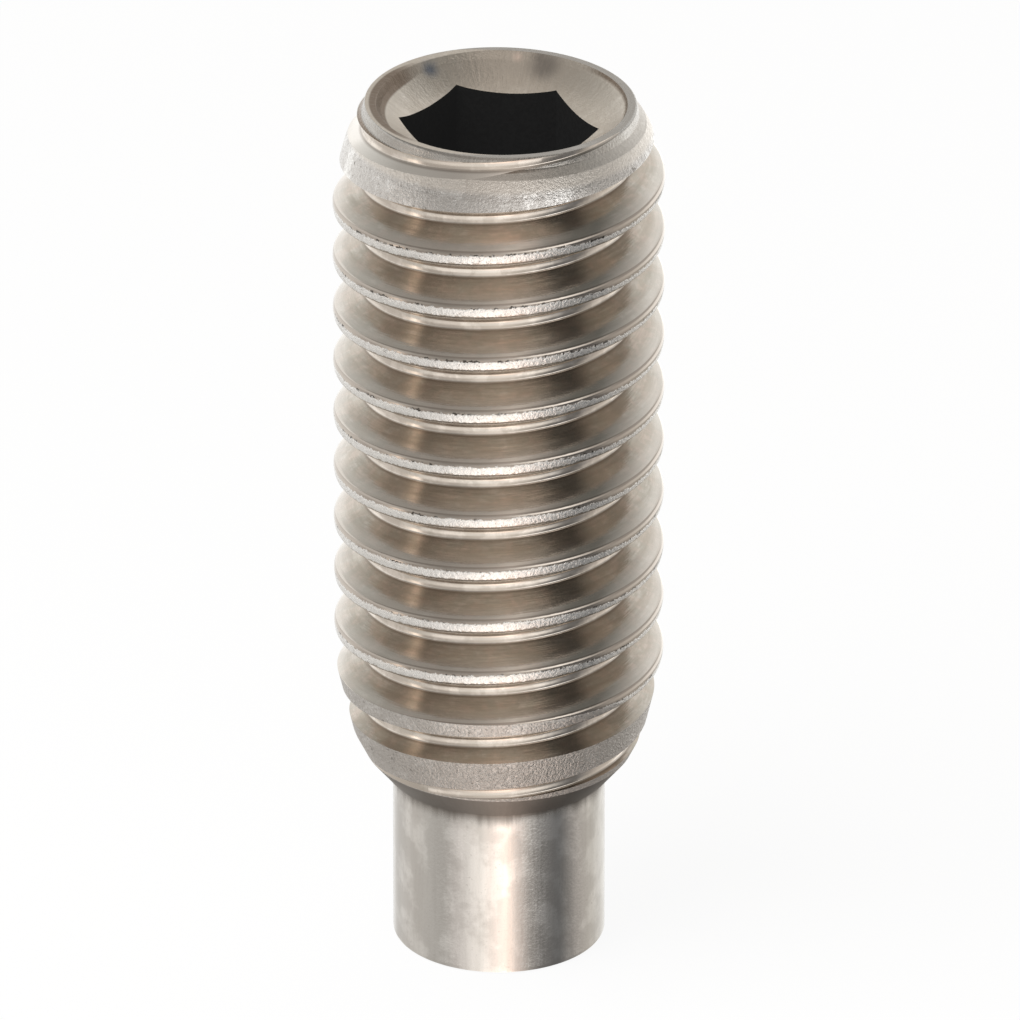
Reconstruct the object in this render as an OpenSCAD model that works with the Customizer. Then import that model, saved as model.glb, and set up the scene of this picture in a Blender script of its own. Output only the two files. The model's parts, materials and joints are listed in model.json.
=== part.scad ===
// Grub set screw: a headless, fully threaded screw with a hexagon socket in
// its top and a long plain dog point below the thread.
//
// It is one piece of stainless steel. The blank is turned with a coned lead at
// each end and a plain point below, the thread is rolled on it, and the socket
// is countersunk, drilled and broached into its top.
//
// Millimetres, +Z up. The origin is the middle of the point's end face, so the
// screw stands on its point with its axis along Z.

/* [Thread] */
// Diameter over the thread's full crests, before their corners are rounded
thread_d = 5.76; // [5.4:0.02:7.2]
// Distance from one crest to the next
pitch = 1; // [0.7:0.05:1.25]
// Width of each crest, before its corners are rounded
crest_width = 0.26; // [0.24:0.01:0.32]
// How much further in the crest is at its lower corner, where it is worn
crest_wear = 0.025; // [0.01:0.005:0.05]
// Radius of the rounded corner above the crest
upper_round = 0.14; // [0.02:0.01:0.16]
// Radius of the rounded corner below the crest
lower_round = 0.22; // [0.02:0.01:0.26]
// Radius of the rounded thread root
root_radius = 0.13; // [0.05:0.01:0.18]
// Where round the screw, in degrees, the crest runs out at the socket end
runout_angle = 93; // [0:1:359]

/* [Shank] */
// Length of the whole screw
length = 15.9; // [12:0.05:30]
// Height of the plain lip round the rim
rim_lip = 0.2; // [0.1:0.01:0.4]
// Width of the 45 degree chamfer below the lip
rim_chamfer = 0.14; // [0.05:0.01:0.3]
// Width of the broken edge on top of the lip
rim_edge = 0.05; // [0.02:0.01:0.1]
// How far the lip and its chamfer were turned off the axis, along X
rim_offset = 0.04; // [0:0.01:0.1]
// How far the first crests under the rim stay below full height
rim_lead_drop = 0.35; // [0.1:0.01:0.4]
// Height over which those crests rise to full
rim_lead_length = 1.15; // [0.5:0.05:2]

/* [Point] */
// Diameter of the plain point
point_d = 3.71; // [2.8:0.02:4.48]
// Length of the plain point, from its end face to the shoulder
point_length = 3.17; // [1.5:0.05:5]
// Chamfer round the point's end face
point_chamfer = 0.1; // [0.05:0.01:0.3]
// Radius of the hollow fillet between the point and the shoulder
point_fillet = 0.12; // [0.05:0.01:0.3]
// How far the shoulder's edge stays below the crests
shoulder_drop = 0.53; // [0.4:0.01:0.7]
// Height of the sloped shoulder, up to that edge
shoulder_rise = 0.44; // [0.2:0.01:1]
// How far the last crest over the shoulder stays below full height
shoulder_lead_drop = 0.32; // [0.1:0.01:0.4]
// Height above the shoulder's edge where that crest stands
shoulder_lead_rise = 0.42; // [0.2:0.01:1]
// Height over which the next crests rise to full
shoulder_lead_length = 1.35; // [0.5:0.05:2]

/* [Socket] */
// Width of the hexagon socket across its flats
socket_flats = 3; // [2:0.05:3.6]
// Depth of the hexagon's flats below the rim
socket_depth = 3.5; // [1.5:0.1:6]
// Which way the hexagon's first corner faces, in degrees
socket_angle = -5; // [-30:1:30]
// Width of the flat rim that is left outside the countersink's mouth
rim_land = 0.2; // [0.1:0.01:0.4]
// Width of the steep band just inside the countersink's mouth
sink_band_width = 0.08; // [0.02:0.01:0.15]
// Depth of that band
sink_band_depth = 0.13; // [0.05:0.01:0.2]
// Angle of the countersink below the band, from one side to the other
sink_angle = 112; // [90:1:125]
// How far the countersink was cut off the axis, along X
sink_offset = 0.065; // [0:0.005:0.1]
// Angle of the cone that the drill leaves below the hexagon
drill_angle = 120; // [90:1:140]

/* [Quality] */
// Flat faces in one turn of the thread
turn_faces = 36; // [24:4:40]

/* [Hidden] */

$fn = 96;

// How far a cutting solid reaches past the face that it cuts
margin = 0.3;

crest_r = thread_d / 2;
outer_r = crest_r + margin;
rim_lead_r = crest_r - rim_lead_drop;
rim_r = rim_lead_r - rim_chamfer;
point_r = point_d / 2;

// The thread's section is drawn from its sharp corners, as [height, radius].
// Height 0 is the corner above the crest. The flanks are 60 degrees apart, so
// each one's normal is 60 degrees up or down from level.
flank_normal = 60;
crest_normal = -atan(crest_wear / crest_width);
worn_r = crest_r - crest_wear;
root_z = (pitch - crest_width + crest_wear / tan(flank_normal)) / 2;
root_r = crest_r - root_z * tan(flank_normal);

// An arc that rounds the corner at [z, r], where the normal turns from low to
// high on the way up. A hollow corner has a negative radius.
function corner_arc(z, r, low, high, radius, pieces) =
    let (middle = (low + high) / 2)
    let (reach = radius / cos((high - low) / 2))
    [
        for (i = [0 : pieces], a = low + (high - low) * i / pieces) [
            z - reach * sin(middle) + radius * sin(a),
            r - reach * cos(middle) + radius * cos(a)
        ]
    ];

// One pitch of that section, upwards: the corner below the crest, the corner
// above it, and the root
profile = concat(
    corner_arc(-crest_width, worn_r, -flank_normal, crest_normal, lower_round, 2),
    corner_arc(0, crest_r, crest_normal, flank_normal, upper_round, 1),
    corner_arc(root_z, root_r, flank_normal, -flank_normal, -root_radius, 2)
);
rows = len(profile);

// The rod is longer than the shank by a turn or more at each end, so that the
// blank's ends cut its ragged ends off. Its crest passes the rim's plane at
// runout_angle.
rod_turns = ceil((length - point_length) / pitch) + 4;
rod_start = length - pitch * (rod_turns - 3 + runout_angle / 360);
last_step = rod_turns * turn_faces;

function rod_point(step, row) =
    let (angle = 360 * step / turn_faces)
    let (height = pitch * step / turn_faces + profile[row][0])
    [profile[row][1] * cos(angle), profile[row][1] * sin(angle), rod_start + height];

// Where a point of the rod stands in its list of points
function at(step, row) = step * rows + row;

// Two triangles that fill the gap between four points
function patch(a, b, c, d) = [[a, c, b], [a, d, c]];

// A fan of triangles from one point to the closed loop round it
function fan(middle, loop) = [
    for (i = [0 : len(loop) - 1]) [middle, loop[i], loop[(i + 1) % len(loop)]]
];

function reversed(list) = [for (i = [len(list) - 1 : -1 : 0]) list[i]];

// A right-hand threaded rod. The section climbs round the axis as one spiral
// strip, whose upper edge meets its own lower edge a turn later.
module threaded_rod() {
    spiral = [for (step = [0 : last_step], row = [0 : rows - 1]) rod_point(step, row)];
    axis_ends = [[0, 0, rod_start], [0, 0, rod_start + pitch * rod_turns]];
    flanks = [
        for (step = [0 : last_step - 1], row = [0 : rows - 2])
            each patch(at(step, row), at(step + 1, row), at(step + 1, row + 1), at(step, row + 1))
    ];
    joins = [
        for (step = [0 : last_step - turn_faces - 1], above = step + turn_faces)
            each patch(at(step, rows - 1), at(step + 1, rows - 1), at(above + 1, 0), at(above, 0))
    ];
    lower_edge = concat(
        [for (step = [0 : turn_faces]) at(step, 0)],
        [for (row = [rows - 1 : -1 : 1]) at(0, row)]
    );
    upper_edge = concat(
        [for (step = [last_step - turn_faces : last_step]) at(step, rows - 1)],
        [for (row = [rows - 2 : -1 : 0]) at(last_step, row)]
    );
    foot = fan(len(spiral), lower_edge);
    top = fan(len(spiral) + 1, reversed(upper_edge));
    polyhedron(concat(spiral, axis_ends), concat(flanks, joins, foot, top));
}

// The turned blank that the thread is rolled on: a sloped shoulder, then a
// steep lead and a slim one, where the crests rise to full height
module shank_blank() {
    shoulder_z = point_length + shoulder_rise;
    lead_z = shoulder_z + shoulder_lead_rise;
    lead_slope = shoulder_lead_length / shoulder_lead_drop;
    rotate_extrude()
        polygon([
            [0, point_length],
            [point_r + point_fillet, point_length],
            [crest_r - shoulder_drop, shoulder_z],
            [crest_r - shoulder_lead_drop, lead_z],
            [outer_r, lead_z + (shoulder_lead_drop + margin) * lead_slope],
            [outer_r, length + margin],
            [0, length + margin]
        ]);
}

// What the blank's socket end is turned down to: a slim lead for the crests, a
// 45 degree chamfer, and a plain lip with a broken edge. This cut was made a
// little off the axis.
module rim_end() {
    lead_z = length - rim_lip - rim_chamfer;
    lead_slope = rim_lead_length / rim_lead_drop;
    translate([rim_offset, 0, 0])
        rotate_extrude()
            polygon([
                [0, 0],
                [outer_r, 0],
                [outer_r, lead_z - (rim_lead_drop + margin) * lead_slope],
                [rim_lead_r, lead_z],
                [rim_r, length - rim_lip],
                [rim_r, length - rim_edge],
                [rim_r - rim_edge, length],
                [0, length]
            ]);
}

// The plain point, with a chamfered end and a hollow fillet up to the shoulder
module point() {
    fillet = [
        for (a = [0 : 30 : 90]) [
            point_r + point_fillet * (1 - cos(a)),
            point_length - point_fillet * (1 - sin(a))
        ]
    ];
    rotate_extrude()
        polygon(concat(
            [[0, 0], [point_r - point_chamfer, 0], [point_r, point_chamfer]],
            fillet,
            [[0, point_length]]
        ));
}

// The countersink, with a steep band at its mouth and a wide cone below
module countersink() {
    mouth_r = rim_r - rim_land;
    cone_r = mouth_r - sink_band_width;
    cone_z = length - sink_band_depth;
    translate([sink_offset, 0, 0])
        rotate_extrude()
            polygon([
                [0, cone_z - cone_r / tan(sink_angle / 2)],
                [cone_r, cone_z],
                [mouth_r, length],
                [mouth_r, length + margin],
                [0, length + margin]
            ]);
}

// The hexagon socket, with its countersink and the drill's cone under it
module socket() {
    corner_r = socket_flats / 2 / cos(30);
    floor_z = length - socket_depth;
    drill_depth = socket_flats / 2 / tan(drill_angle / 2);
    translate([0, 0, floor_z])
        rotate(socket_angle)
            cylinder(h = socket_depth + margin, r = corner_r, $fn = 6);
    translate([0, 0, floor_z - drill_depth])
        cylinder(h = drill_depth, r1 = 0, r2 = socket_flats / 2);
    countersink();
}

module set_screw() {
    color([0.66, 0.62, 0.58])
        difference() {
            union() {
                intersection() {
                    threaded_rod();
                    shank_blank();
                    rim_end();
                }
                point();
            }
            socket();
        }
}

set_screw();
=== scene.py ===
# %% [markdown]
# # A grub set screw
#
# The real object is a headless screw, turned from a stainless steel bar. Its
# thread is rolled, its point is turned plain, and a hexagon socket is broached
# into its top. It is one solid, so it is one piece here too.
#
# The CAD model is the frame. It gives the size and the place of the screw, and
# this script draws the same solid again with a finer mesh, then gives each kind
# of surface its own finish: the grooves, the crests, the leads, the plain
# point, the countersink and the socket.

import json
import math

import bpy
from mathutils import Matrix, Vector


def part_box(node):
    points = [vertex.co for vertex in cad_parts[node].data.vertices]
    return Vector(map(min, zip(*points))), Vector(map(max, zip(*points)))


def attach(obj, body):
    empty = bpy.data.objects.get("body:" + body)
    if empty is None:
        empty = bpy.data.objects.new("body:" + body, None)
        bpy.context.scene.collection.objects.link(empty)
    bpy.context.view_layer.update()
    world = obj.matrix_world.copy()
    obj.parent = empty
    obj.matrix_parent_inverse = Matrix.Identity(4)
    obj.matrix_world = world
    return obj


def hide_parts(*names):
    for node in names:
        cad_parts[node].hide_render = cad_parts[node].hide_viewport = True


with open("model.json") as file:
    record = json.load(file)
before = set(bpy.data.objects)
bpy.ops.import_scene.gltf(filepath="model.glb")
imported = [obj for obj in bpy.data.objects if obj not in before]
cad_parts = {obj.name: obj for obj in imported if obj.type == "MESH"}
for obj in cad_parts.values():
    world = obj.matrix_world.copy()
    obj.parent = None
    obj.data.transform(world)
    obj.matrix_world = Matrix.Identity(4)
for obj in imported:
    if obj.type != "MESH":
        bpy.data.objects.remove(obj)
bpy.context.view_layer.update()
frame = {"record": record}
foot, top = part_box("set_screw")
mounts = {mount["name"]: mount for mount in frame["record"]["mounts"]}
print("the screw stands from", tuple(foot), "to", tuple(top))

# %% [markdown]
# ## Sizes
#
# Everything is in metres, so a millimetre is named once. The length, the crest
# radius and the point's radius are read from the frame, so that they can't
# drift away from the CAD model. The other sizes are the ones that the screw's
# maker would write on the drawing.

# %% Sizes
MM = 0.001
MICRON = MM / 1000

LENGTH = top.z - foot.z
CREST_R = (top.x - foot.x) / 2
POINT_R = mounts["dog_point"]["dims"]["r_mm"] * MM
POINT_LENGTH = 3.17 * MM
SOCKET_FLATS = 3.0 * MM
SOCKET_DEPTH = 3.5 * MM
print(f"length {LENGTH / MM:.2f} mm, crests {2 * CREST_R / MM:.2f} mm, point {2 * POINT_R / MM:.2f} mm")

# %% [markdown]
# ## Drawing an outline
#
# A lathe cuts a shape by following an outline, and so do the Spin tool and the
# Screw modifier. An outline is a list of corners, each with the radius that
# rounds it, because no real edge is perfectly sharp. It starts as a tiny plane
# that is merged to one vertex. The vertex is moved to the first point and then
# extruded from point to point, as one would do by hand with the E key.

# %% Outline helpers
TINY = 0.01 * MICRON
ARC_STEP = math.radians(15)


def rounded(corners):
    """Points (x, z) through the corners (x, z, radius), with arcs where the radius isn't 0."""
    points = []
    for index, (x, z, radius) in enumerate(corners):
        here = Vector((x, z))
        if radius == 0:
            points.append(here)
            continue
        back = (Vector(corners[index - 1][:2]) - here).normalized()
        ahead = (Vector(corners[index + 1][:2]) - here).normalized()
        half_angle = back.angle(ahead) / 2
        centre = here + (back + ahead).normalized() * radius / math.sin(half_angle)
        first = here + back * radius / math.tan(half_angle) - centre
        last = here + ahead * radius / math.tan(half_angle) - centre
        turn = -first.angle_signed(last)
        pieces = math.ceil(abs(turn) / ARC_STEP)
        points += [centre + Matrix.Rotation(turn * i / pieces, 2) @ first for i in range(pieces + 1)]
    return points


def outline(name, corners):
    """A chain of edges in the XZ plane, through the rounded corners."""
    points = rounded(corners)
    bpy.ops.object.select_all(action="DESELECT")
    bpy.ops.mesh.primitive_plane_add(size=MICRON, location=(0, 0, 0))
    piece = bpy.context.object
    piece.name = name
    bpy.ops.object.mode_set(mode="EDIT")
    bpy.ops.mesh.merge(type="CENTER")
    bpy.ops.transform.translate(value=(points[0].x, 0, points[0].y))
    for start, end in zip(points, points[1:]):
        step = (end.x - start.x, 0, end.y - start.y)
        bpy.ops.mesh.extrude_region_move(TRANSFORM_OT_translate={"value": step})
    bpy.ops.object.mode_set(mode="OBJECT")
    return piece


def close_up():
    """Merges what meets, points the faces outwards, and leaves edit mode."""
    bpy.ops.mesh.select_all(action="SELECT")
    bpy.ops.mesh.remove_doubles(threshold=TINY)
    bpy.ops.mesh.normals_make_consistent(inside=False)
    bpy.ops.object.mode_set(mode="OBJECT")


# %% [markdown]
# ## One finish for each tool
#
# Each tool leaves its own finish. The finished screw's faces could be sorted
# by their place, but it is simpler that each tool's shape carries its material,
# because the Boolean modifier hands it on to the faces that the tool cut. The
# finishes are only named here. They are drawn once the shape is done.

# %% Name the finishes
def give_finishes(piece, *names):
    """Gives the piece its finishes. Its faces start with the first."""
    for name in names:
        finish = bpy.data.materials.get(name) or bpy.data.materials.new(name)
        piece.data.materials.append(finish)


# %% [markdown]
# ## The rolled thread
#
# Hard dies roll the thread: they press the grooves in, and push the crests up.
# It could be cut from a rod with a helical tool, but a sweep is cleaner. One
# pitch of the thread's section is drawn from the middle of one flank to the
# middle of the same flank on the next turn. It goes over the crest, down the
# flank below it, across the narrow root, and back out. The crest leans in a
# little at its lower edge, where it is worn.
#
# The Screw modifier sweeps this section up and round the axis, and each turn
# meets the last one, because the section is exactly one pitch high.

# %% Thread section
PITCH = 1.0 * MM
FLANK_ANGLE = math.radians(30)
CREST_FLAT = 0.13 * MM
WORN_HEIGHT = 0.13 * MM
WORN_DROP = 0.025 * MM
UPPER_ROUND = 0.14 * MM
WORN_ROUND = 0.30 * MM
LOWER_ROUND = 0.10 * MM
ROOT_DEPTH = 0.52 * MM
ROOT_ROUND = 0.045 * MM

lower_corner_r = CREST_R - WORN_DROP
lower_corner_z = -CREST_FLAT - WORN_HEIGHT
root_r = CREST_R - ROOT_DEPTH
flank_slope = math.tan(FLANK_ANGLE)
root_top_z = lower_corner_z - (lower_corner_r - root_r) * flank_slope
root_foot_z = ROOT_DEPTH * flank_slope - PITCH
mid_flank = (CREST_R - ROOT_DEPTH / 2, root_foot_z - ROOT_DEPTH / 2 * flank_slope)
thread_section = [
    (mid_flank[0], mid_flank[1] + PITCH, 0),
    (CREST_R, 0, UPPER_ROUND),
    (CREST_R, -CREST_FLAT, WORN_ROUND),
    (lower_corner_r, lower_corner_z, LOWER_ROUND),
    (root_r, root_top_z, ROOT_ROUND),
    (root_r, root_foot_z, ROOT_ROUND),
    (*mid_flank, 0),
]
print("root:", round((root_top_z - root_foot_z) / MM, 3), "mm wide")
print("thread section:", len(rounded(thread_section)), "points")

# %% Threaded rod
TURN_STEPS = 240
RUNOUT_TURN = 93 / 360
SPARE_TURNS = 3
TURNS_OVER_TOP = 2
ROD_TURNS = math.ceil(LENGTH / PITCH) + SPARE_TURNS
ROD_START = LENGTH - PITCH * (ROD_TURNS - TURNS_OVER_TOP + RUNOUT_TURN)


def cap_ends():
    """Fills each open end of a tube with a fan of faces."""
    bpy.ops.object.mode_set(mode="EDIT")
    bpy.ops.mesh.select_all(action="SELECT")
    bpy.ops.mesh.remove_doubles(threshold=TINY)
    bpy.ops.mesh.select_non_manifold(extend=False)
    bpy.ops.mesh.fill_holes(sides=0)
    bpy.ops.mesh.poke()
    close_up()


def threaded_rod():
    """The thread, on a rod that is longer than the screw at both ends."""
    piece = outline("finished_screw", [(x, ROD_START + z, radius) for x, z, radius in thread_section])
    screw = piece.modifiers.new("Screw", "SCREW")
    screw.axis = "Z"
    screw.angle = 2 * math.pi
    screw.screw_offset = PITCH
    screw.iterations = ROD_TURNS
    screw.steps = TURN_STEPS
    screw.render_steps = TURN_STEPS
    bpy.ops.object.modifier_apply(modifier=screw.name)
    cap_ends()
    give_finishes(piece, "rolled_thread")
    return piece


screw = threaded_rod()
print("rod:", len(screw.data.vertices), "vertices,", len(screw.data.polygons), "faces")

# %% [markdown]
# ## The turned blank
#
# Before the thread is rolled, a lathe turns the blank. It has a plain point, a
# hollow fillet up to the shoulder, and a slim cone at each end of the shank,
# where the first crests rise from nothing. It could be a cylinder with loops
# and bevels, but a turned shape is nothing more than its outline, so the
# outline is spun round the axis. The screw is what lies inside both the blank
# and the rod. The rim sits a hair off the axis and leans a little, so the
# blank's top is moved and tilted before the two are combined.

# %% Blank
RIM_LIP = 0.20 * MM
RIM_CHAMFER = 0.14 * MM
RIM_LEAD_DROP = 0.35 * MM
RIM_LEAD_LENGTH = 1.15 * MM
RIM_SWELL = 0.16 * MM
RIM_SWELL_LENGTH = 0.36 * MM
RIM_OFFSET = 0.04 * MM
RIM_TILT = math.radians(1.0)
SHOULDER_DROP = 0.53 * MM
SHOULDER_RISE = 0.44 * MM
SHOULDER_LEAD_DROP = 0.32 * MM
SHOULDER_LEAD_RISE = 0.42 * MM
SHOULDER_LEAD_LENGTH = 1.35 * MM
SHOULDER_LEAD_ROUND = 0.3 * MM
RIM_SWELL_ROUND = 0.5 * MM
LIP_SLOPE = 0.03 * MM
LIP_ROUND = 0.06 * MM
POINT_FILLET = 0.12 * MM
POINT_CHAMFER = 0.10 * MM
EDGE_ROUND = 0.04 * MM
MARGIN = 0.3 * MM
LATHE_STEPS = 256
RIM_FINISH = 1
POINT_FINISH = 2

rim_lead_r = CREST_R - RIM_LEAD_DROP
rim_lead_z = LENGTH - RIM_LIP - RIM_CHAMFER
rim_r = rim_lead_r - RIM_CHAMFER
shoulder_z = POINT_LENGTH + SHOULDER_RISE
shoulder_lead_r = CREST_R - SHOULDER_LEAD_DROP
shoulder_lead_z = shoulder_z + SHOULDER_LEAD_RISE


def turned(name, corners):
    """A solid of revolution, as a lathe would leave it."""
    piece = outline(name, corners)
    bpy.ops.object.mode_set(mode="EDIT")
    bpy.ops.mesh.select_all(action="SELECT")
    bpy.ops.mesh.spin(
        steps=LATHE_STEPS, angle=2 * math.pi, use_auto_merge=True, center=(0, 0, 0), axis=(0, 0, 1)
    )
    close_up()
    return piece


def past_crest(drop, lead_length):
    """How far along a lead's cone the blank is MARGIN wider than the crests."""
    return (drop + MARGIN) * lead_length / drop


blank = turned("blank", [
    (0, 0, 0),
    (POINT_R, 0, POINT_CHAMFER),
    (POINT_R, POINT_LENGTH, POINT_FILLET),
    (POINT_R + POINT_FILLET, POINT_LENGTH, 0),
    (CREST_R - SHOULDER_DROP, shoulder_z, EDGE_ROUND),
    (shoulder_lead_r, shoulder_lead_z, SHOULDER_LEAD_ROUND),
    (CREST_R + MARGIN, shoulder_lead_z + past_crest(SHOULDER_LEAD_DROP, SHOULDER_LEAD_LENGTH), 0),
    (CREST_R + MARGIN, rim_lead_z - past_crest(RIM_LEAD_DROP, RIM_LEAD_LENGTH), 0),
    (rim_lead_r + RIM_SWELL, rim_lead_z - RIM_SWELL_LENGTH, RIM_SWELL_ROUND),
    (rim_lead_r, rim_lead_z, EDGE_ROUND),
    (rim_r, LENGTH - RIM_LIP, EDGE_ROUND),
    (rim_r - LIP_SLOPE, LENGTH, LIP_ROUND),
    (0, LENGTH, 0),
])


def select_above(piece, height):
    """Selects the piece's vertices above a height, in edit mode."""
    bpy.ops.object.mode_set(mode="EDIT")
    bpy.ops.mesh.select_all(action="DESELECT")
    bpy.ops.object.mode_set(mode="OBJECT")
    for vertex in piece.data.vertices:
        vertex.select = vertex.co.z > height
    bpy.ops.object.mode_set(mode="EDIT")


select_above(blank, LENGTH / 2)
bpy.ops.transform.translate(value=(RIM_OFFSET, 0, 0))
bpy.ops.object.mode_set(mode="OBJECT")
select_above(blank, rim_lead_z - EDGE_ROUND)
bpy.ops.transform.rotate(value=-RIM_TILT, orient_axis="Y", center_override=(0, 0, LENGTH))
bpy.ops.object.mode_set(mode="OBJECT")

give_finishes(blank, "worn_leads", "turned_rim", "turned_point")
for face in blank.data.polygons:
    if face.center.z > rim_lead_z:
        face.material_index = RIM_FINISH
    elif face.center.z < shoulder_z + EDGE_ROUND:
        face.material_index = POINT_FINISH
print("blank:", len(blank.data.polygons), "faces")

# %% [markdown]
# ## The socket
#
# The socket is cut by two tools: a countersinking drill, which is turned, and a
# hexagon broach. Insets and extrusions of the top face could also make it, but
# the tools leave the true edges: where the round bowl meets the flat sides of
# the hexagon, the edge rises and falls in six arcs, and the Boolean finds them.

# %% Socket tools
RIM_LAND = 0.20 * MM
# Each corner of the bowl has its way inwards, its depth and its rounding, in millimetres.
BOWL = [(0.08, 0.13, 0.10), (0.46, 0.41, 0.60), (0.85, 0.55, 0)]
DRILL_LIFT = 0.1 * MARGIN
DRILL_ANGLE = math.radians(120)
DRILL_R = 1.4 * MM
SOCKET_TURN = math.radians(-5)
SINK_OFFSET = 0.065 * MM
SOCKET_FINISH = 1

sink_r = rim_r - RIM_LAND
bowl = [(sink_r - inward * MM, LENGTH - deep * MM, round_r * MM) for inward, deep, round_r in BOWL]
floor_z = LENGTH - SOCKET_DEPTH
drill = turned("drill", [
    (0, floor_z - DRILL_R / math.tan(DRILL_ANGLE / 2), 0),
    (DRILL_R, floor_z, 0),
    (DRILL_R, bowl[-1][1], 0),
    *reversed(bowl[:-1]),
    (sink_r, LENGTH, EDGE_ROUND),
    (sink_r + MARGIN, LENGTH + DRILL_LIFT, 0),
    (sink_r + MARGIN, LENGTH + MARGIN, 0),
    (0, LENGTH + MARGIN, 0),
])
drill.location.x = SINK_OFFSET
give_finishes(drill, "countersink", "black_socket")
for face in drill.data.polygons:
    if face.center.z < bowl[-1][1]:
        face.material_index = SOCKET_FINISH


def hexagon_broach():
    """A hexagon with flat sides in front and behind, turned as the socket is."""
    half_side = math.radians(30)
    corner_r = SOCKET_FLATS / 2 / math.cos(half_side)
    depth = SOCKET_DEPTH + MARGIN
    bpy.ops.object.select_all(action="DESELECT")
    bpy.ops.mesh.primitive_cylinder_add(
        vertices=6, radius=corner_r, depth=depth, location=(0, 0, floor_z + depth / 2)
    )
    piece = bpy.context.object
    piece.name = "broach"
    piece.rotation_euler.z = half_side + SOCKET_TURN
    bpy.ops.object.transform_apply(location=True, rotation=True, scale=True)
    return piece


broach = hexagon_broach()
give_finishes(broach, "black_socket")
print("broach corners", [round(math.degrees(math.atan2(v.co.y, v.co.x))) for v in broach.data.vertices])

# %% [markdown]
# ## Cutting the screw
#
# The rod is trimmed by the blank, and then drilled and broached, as in the
# workshop. All four shapes are closed solids, so the quick Manifold solver can
# be used, and it keeps each tool's finish on the faces that the tool cut. The
# faces are then shaded smooth, apart from where they meet at a sharp angle.

# %% Put the screw together
SMOOTH_ANGLE = math.radians(32)


def combine(piece, tool, operation):
    """Trims or cuts the piece with the tool, and removes the tool."""
    boolean = piece.modifiers.new(operation, "BOOLEAN")
    boolean.operation = operation
    boolean.solver = "MANIFOLD"
    boolean.material_mode = "TRANSFER"
    boolean.object = tool
    bpy.ops.object.select_all(action="DESELECT")
    bpy.context.view_layer.objects.active = piece
    bpy.ops.object.modifier_apply(modifier=boolean.name)
    bpy.data.objects.remove(tool)
    print(operation.lower(), "leaves", len(piece.data.polygons), "faces")


combine(screw, blank, "INTERSECT")
combine(screw, drill, "DIFFERENCE")
combine(screw, broach, "DIFFERENCE")
screw.data.calc_loop_triangles()
print("triangles", len(screw.data.loop_triangles))

bpy.ops.object.select_all(action="DESELECT")
screw.select_set(True)
bpy.context.view_layer.objects.active = screw
bpy.ops.object.shade_smooth_by_angle(angle=SMOOTH_ANGLE)

# %% [markdown]
# ## Drawing a finish with nodes
#
# A finish is a small tree of nodes. It could be wired by hand in the shader
# editor. In a script the helpers below add a node, set it, and feed its inputs
# with numbers, colours or the outputs of other nodes, so that a finish can be
# read from top to bottom like a recipe. Most of its steps lay one colour over
# another where a mask is 1, or raise a value there.

# %% Node helpers
def add_node(tree, kind, feeds=None, **settings):
    """Adds a node, sets its settings, and feeds its inputs."""
    made = tree.nodes.new(kind)
    for name, value in settings.items():
        setattr(made, name, value)
    for name, value in (feeds or {}).items():
        if isinstance(value, bpy.types.NodeSocket):
            tree.links.new(value, made.inputs[name])
        else:
            made.inputs[name].default_value = value
    return made


def maths(tree, operation, *values):
    """A Math node's result."""
    return add_node(tree, "ShaderNodeMath", dict(enumerate(values)), operation=operation).outputs[0]


def vector_maths(tree, operation, feeds):
    """A Vector Math node's outputs, Vector and Value."""
    return add_node(tree, "ShaderNodeVectorMath", feeds, operation=operation).outputs


def split(tree, vector):
    """A vector's X, Y and Z."""
    return add_node(tree, "ShaderNodeSeparateXYZ", {0: vector}).outputs


def ramp_up(tree, value, low, high):
    """0 at low and 1 at high, with a soft step between them. Low may be the larger."""
    feeds = {"Value": value, "From Min": low, "From Max": high}
    return add_node(tree, "ShaderNodeMapRange", feeds, interpolation_type="SMOOTHSTEP").outputs["Result"]


def raised(tree, base, mask, amount):
    """The base value, raised by amount where the mask is 1."""
    return maths(tree, "MULTIPLY_ADD", mask, amount, base)


def blend_colours(tree, amount, first, second):
    """The first colour where amount is 0, and the second where it is 1."""
    feeds = {"Factor": amount, 6: first, 7: second}
    return add_node(tree, "ShaderNodeMix", feeds, data_type="RGBA").outputs[2]


def tinted(tree, colour, tint, mask, strength):
    """The colour, with a tint of this strength over it where the mask is 1."""
    return blend_colours(tree, maths(tree, "MULTIPLY", mask, strength), colour, tint)


def new_group(name, inputs, outputs):
    """A shader node group, with its input and output sockets."""
    group = bpy.data.node_groups.new(name, "ShaderNodeTree")
    for label, kind in inputs.items():
        group.interface.new_socket(label, in_out="INPUT", socket_type="NodeSocket" + kind)
    for label, kind in outputs.items():
        group.interface.new_socket(label, in_out="OUTPUT", socket_type="NodeSocket" + kind)
    return group, group.nodes.new("NodeGroupInput").outputs, group.nodes.new("NodeGroupOutput").inputs


def place_group(tree, name, feeds):
    """Places a group in a tree and returns its outputs."""
    return add_node(tree, "ShaderNodeGroup", feeds, node_tree=bpy.data.node_groups[name]).outputs


# %% [markdown]
# ## Where a point is on the screw
#
# Every mark on a screw follows its axis: lathe marks and rolling marks run
# round it, and wear runs along it. This group turns a point's place into how
# far it is from the axis and how high it is, both in millimetres, and which way
# it faces. The direction is a unit vector and not an angle, because an angle
# would jump at the back and leave a seam.

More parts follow.
